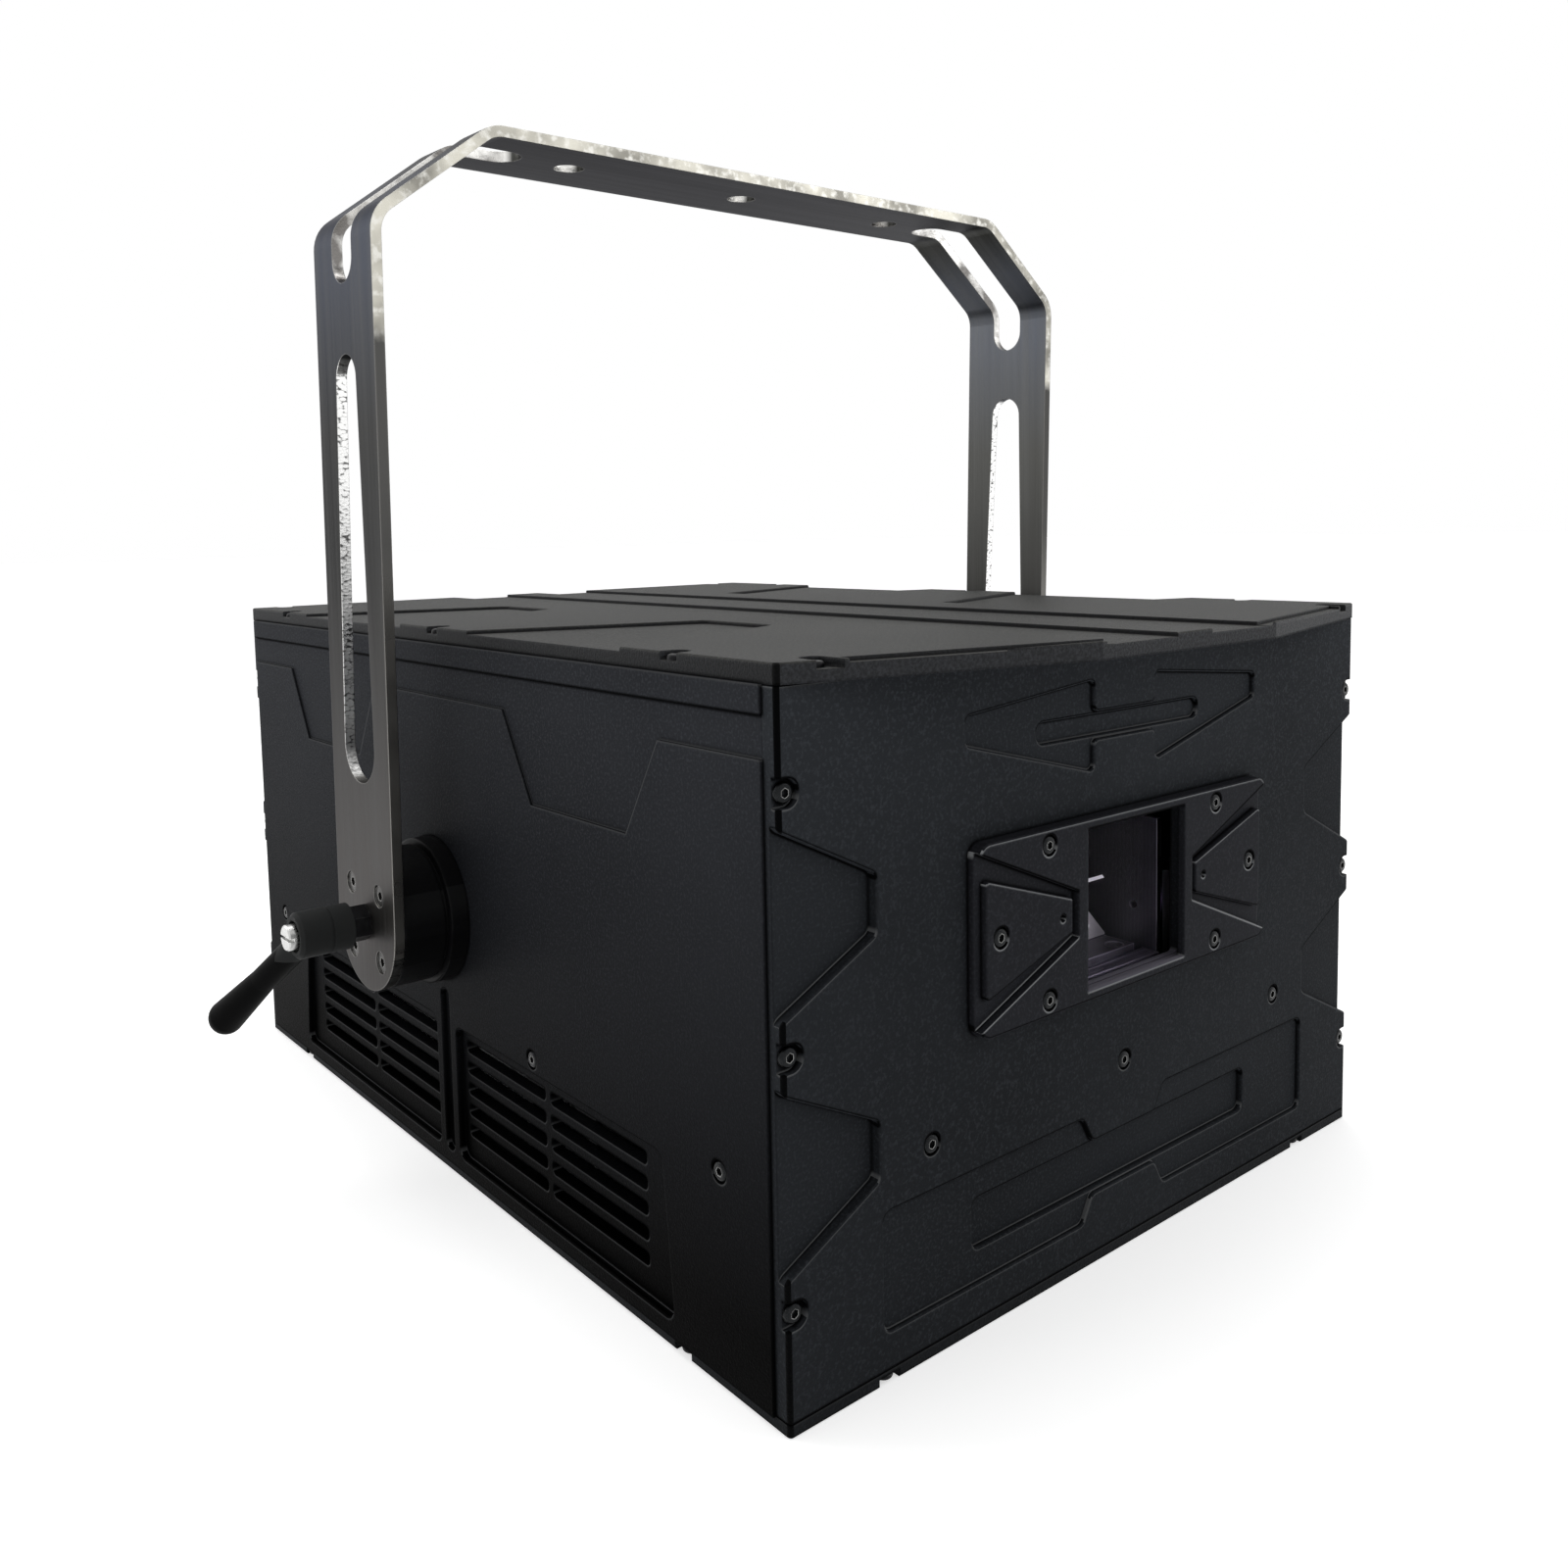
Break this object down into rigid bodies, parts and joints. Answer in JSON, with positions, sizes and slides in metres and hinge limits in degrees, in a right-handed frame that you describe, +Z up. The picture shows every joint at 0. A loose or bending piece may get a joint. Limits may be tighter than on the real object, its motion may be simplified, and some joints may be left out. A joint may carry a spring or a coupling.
{
  "type": "laser show projector",
  "caption": "Milled black case with a square beam window and louvred sides, swinging in a bent steel yoke with clamp levers; throws scanned laser patterns.",
  "frame": {"origin": "middle of the underside of the base plate", "axes": "+Z up, -Y the way the window faces, +X to the right as seen from the front"},
  "size_m": [0.5678, 0.579, 0.4995],
  "materials": {
    "black_coat": "fine-textured black powder coat on milled aluminium",
    "bare_deck": "clear anodised aluminium",
    "dark_steel": "dark brushed stainless strap with bright cut edges",
    "black_screw": "blackened steel",
    "bright_steel": "bright zinc-plated steel",
    "black_plastic": "matt glass-filled plastic",
    "gloss_black": "glossy moulded plastic",
    "clear_glass": "coated clear window",
    "screen_glass": "dark display window",
    "scan_mirror": "polished mirror",
    "coated_glass": "dichroic coating",
    "seal_rubber": "foam rubber gasket",
    "board_green": "solder mask",
    "supply_case": "perforated light metal case round a hollow supply",
    "key_brass": "nickel-plated brass"
  },
  "bodies": {
    "housing": {"base_plate": "black_coat", "top_cover": "black_coat", "front_panel": "black_coat", "rear_panel": "black_coat", "left_side_panel": "black_coat", "right_side_panel": "black_coat", "aperture_frame": "black_coat", "left_wing_plate": "black_coat", "right_wing_plate": "black_coat", "left_hub_flange": "black_coat", "right_hub_flange": "black_coat", "optical_deck": "bare_deck", "scanner_mount": "bare_deck", "dichroic_mounts": "bare_deck", "laser_modules": "bare_deck", "front_panel_screws": "black_screw", "rear_panel_screws": "black_screw", "side_panel_screws": "black_screw", "cover_screws": "black_screw", "base_screws": "black_screw", "aperture_screws": "black_screw", "flange_screws": "black_screw", "galvo_motors": "black_screw", "pivot_bolts": "bright_steel", "safety_eye": "bright_steel", "show_sockets": "bright_steel", "fan_frames": "black_plastic", "mains_inlet": "black_plastic", "data_sockets": "black_plastic", "network_socket": "black_plastic", "switch_frame": "gloss_black", "window_glass": "clear_glass", "display_glass": "screen_glass", "dichroic_mirrors": "coated_glass", "window_seal": "seal_rubber", "control_board": "board_green", "power_supplies": "supply_case", "key_barrel": "key_brass"},
    "yoke": {"yoke": "dark_steel", "yoke_hub_screws": "black_screw", "left_yoke_hub": "black_coat", "right_yoke_hub": "black_coat"},
    "left_lever": {"left_lever_insert": "black_screw", "left_clamp_handle": "black_plastic", "left_lever_screw": "bright_steel"},
    "left_fan": {"left_fan_rotor": "black_plastic"},
    "right_lever": {"right_lever_insert": "black_screw", "right_clamp_handle": "black_plastic", "right_lever_screw": "bright_steel"},
    "right_fan": {"right_fan_rotor": "black_plastic"},
    "vertical_scanner": {"vertical_scan_shaft": "bright_steel", "vertical_scan_mirror": "scan_mirror"},
    "horizontal_scanner": {"horizontal_scan_shaft": "bright_steel", "horizontal_scan_mirror": "scan_mirror"},
    "rocker": {"switch_rocker": "gloss_black"},
    "lock_rotor": {"key": "key_brass"},
    "button_1": {"menu_button_1": "gloss_black"},
    "button_2": {"menu_button_2": "gloss_black"},
    "button_3": {"menu_button_3": "gloss_black"},
    "button_4": {"menu_button_4": "gloss_black"}
  },
  "joints": [
    {"name": "yoke_swing", "type": "hinge", "parent": "housing", "child": "yoke", "pos_m": [0, 0.005, 0.133], "axis": [1, 0, 0], "range_deg": [-95, 95]},
    {"name": "vertical_scan", "type": "hinge", "parent": "housing", "child": "vertical_scanner", "pos_m": [-0.013, -0.235, 0.1535], "axis": [1, 0, 0], "range_deg": [-15, 15]},
    {"name": "horizontal_scan", "type": "hinge", "parent": "housing", "child": "horizontal_scanner", "pos_m": [0, -0.222, 0.14], "axis": [0, 1, 0], "range_deg": [-15, 15]},
    {"name": "power_rocker", "type": "hinge", "parent": "housing", "child": "rocker", "pos_m": [-0.13, 0.257, 0.112], "axis": [1, 0, 0], "range_deg": [-16, 0]},
    {"name": "key_turn", "type": "hinge", "parent": "housing", "child": "lock_rotor", "pos_m": [-0.13, 0.257, 0.152], "axis": [0, 1, 0], "range_deg": [0, 90]},
    {"name": "left_lever_turn", "type": "hinge", "parent": "housing", "child": "left_lever", "pos_m": [-0.245, 0.005, 0.133], "axis": [-1, 0, 0], "range_deg": [-150, 150]},
    {"name": "left_fan_spin", "type": "hinge", "parent": "housing", "child": "left_fan", "pos_m": [-0.174, -0.092, 0.04125], "axis": [-1, 0, 0], "continuous": true},
    {"name": "right_lever_turn", "type": "hinge", "parent": "housing", "child": "right_lever", "pos_m": [0.245, 0.005, 0.133], "axis": [1, 0, 0], "range_deg": [-150, 150]},
    {"name": "right_fan_spin", "type": "hinge", "parent": "housing", "child": "right_fan", "pos_m": [0.174, 0.092, 0.04125], "axis": [1, 0, 0], "continuous": true},
    {"name": "button_1_press", "type": "slide", "parent": "housing", "child": "button_1", "axis": [0, -1, 0], "range_m": [0, 0.0015], "stiffness_N_per_m": 400, "springref_m": -0.0008},
    {"name": "button_2_press", "type": "slide", "parent": "housing", "child": "button_2", "axis": [0, -1, 0], "range_m": [0, 0.0015], "stiffness_N_per_m": 400, "springref_m": -0.0008},
    {"name": "button_3_press", "type": "slide", "parent": "housing", "child": "button_3", "axis": [0, -1, 0], "range_m": [0, 0.0015], "stiffness_N_per_m": 400, "springref_m": -0.0008},
    {"name": "button_4_press", "type": "slide", "parent": "housing", "child": "button_4", "axis": [0, -1, 0], "range_m": [0, 0.0015], "stiffness_N_per_m": 400, "springref_m": -0.0008}
  ]
}
